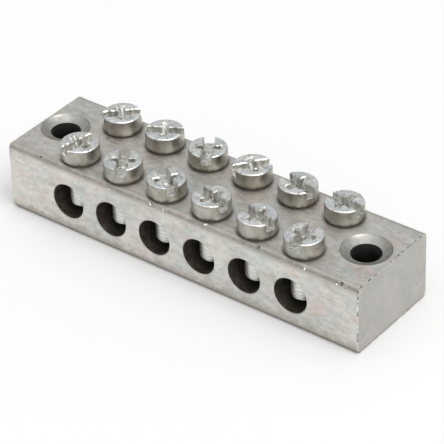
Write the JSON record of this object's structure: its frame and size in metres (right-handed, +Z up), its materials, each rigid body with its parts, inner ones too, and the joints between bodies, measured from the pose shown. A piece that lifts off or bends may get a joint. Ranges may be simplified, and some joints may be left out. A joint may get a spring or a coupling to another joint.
{
  "type": "earth terminal bar",
  "caption": "Solid extruded metal terminal bar: cross-bored wire ports, each clamped from above by a pair of combination-head screws, and a countersunk fixing hole near each end.",
  "frame": {"origin": "middle of the bar's length and width, on its flat seating face", "axes": "+X along the bar to its right end, +Z up through the clamp screws; the front face with the wire ports looks along -Y"},
  "size_m": [0.078, 0.0208, 0.0171],
  "materials": {
    "bar_aluminium": "dull mill finish with drawn lines along the length, sawn ends with a thin burr",
    "screw_zinc": "bright zinc plating, slightly worn at the drive"
  },
  "bodies": {
    "bar": {"terminal_bar": "bar_aluminium"},
    "front_screw_1": {"front_screw_1": "screw_zinc"},
    "front_screw_2": {"front_screw_2": "screw_zinc"},
    "front_screw_3": {"front_screw_3": "screw_zinc"},
    "front_screw_4": {"front_screw_4": "screw_zinc"},
    "front_screw_5": {"front_screw_5": "screw_zinc"},
    "front_screw_6": {"front_screw_6": "screw_zinc"},
    "rear_screw_1": {"rear_screw_1": "screw_zinc"},
    "rear_screw_2": {"rear_screw_2": "screw_zinc"},
    "rear_screw_3": {"rear_screw_3": "screw_zinc"},
    "rear_screw_4": {"rear_screw_4": "screw_zinc"},
    "rear_screw_5": {"rear_screw_5": "screw_zinc"},
    "rear_screw_6": {"rear_screw_6": "screw_zinc"}
  },
  "joints": [
    {"name": "front_screw_1_travel", "type": "slide", "parent": "bar", "child": "front_screw_1", "axis": [0, 0, 1], "range_m": [0, 0.0056]},
    {"name": "front_screw_2_travel", "type": "slide", "parent": "bar", "child": "front_screw_2", "axis": [0, 0, 1], "range_m": [0, 0.0056]},
    {"name": "front_screw_3_travel", "type": "slide", "parent": "bar", "child": "front_screw_3", "axis": [0, 0, 1], "range_m": [0, 0.0056]},
    {"name": "front_screw_4_travel", "type": "slide", "parent": "bar", "child": "front_screw_4", "axis": [0, 0, 1], "range_m": [0, 0.0056]},
    {"name": "front_screw_5_travel", "type": "slide", "parent": "bar", "child": "front_screw_5", "axis": [0, 0, 1], "range_m": [0, 0.0056]},
    {"name": "front_screw_6_travel", "type": "slide", "parent": "bar", "child": "front_screw_6", "axis": [0, 0, 1], "range_m": [0, 0.0056]},
    {"name": "rear_screw_1_travel", "type": "slide", "parent": "bar", "child": "rear_screw_1", "axis": [0, 0, 1], "range_m": [0, 0.0056]},
    {"name": "rear_screw_2_travel", "type": "slide", "parent": "bar", "child": "rear_screw_2", "axis": [0, 0, 1], "range_m": [0, 0.0056]},
    {"name": "rear_screw_3_travel", "type": "slide", "parent": "bar", "child": "rear_screw_3", "axis": [0, 0, 1], "range_m": [0, 0.0056]},
    {"name": "rear_screw_4_travel", "type": "slide", "parent": "bar", "child": "rear_screw_4", "axis": [0, 0, 1], "range_m": [0, 0.0056]},
    {"name": "rear_screw_5_travel", "type": "slide", "parent": "bar", "child": "rear_screw_5", "axis": [0, 0, 1], "range_m": [0, 0.0056]},
    {"name": "rear_screw_6_travel", "type": "slide", "parent": "bar", "child": "rear_screw_6", "axis": [0, 0, 1], "range_m": [0, 0.0056]}
  ]
}
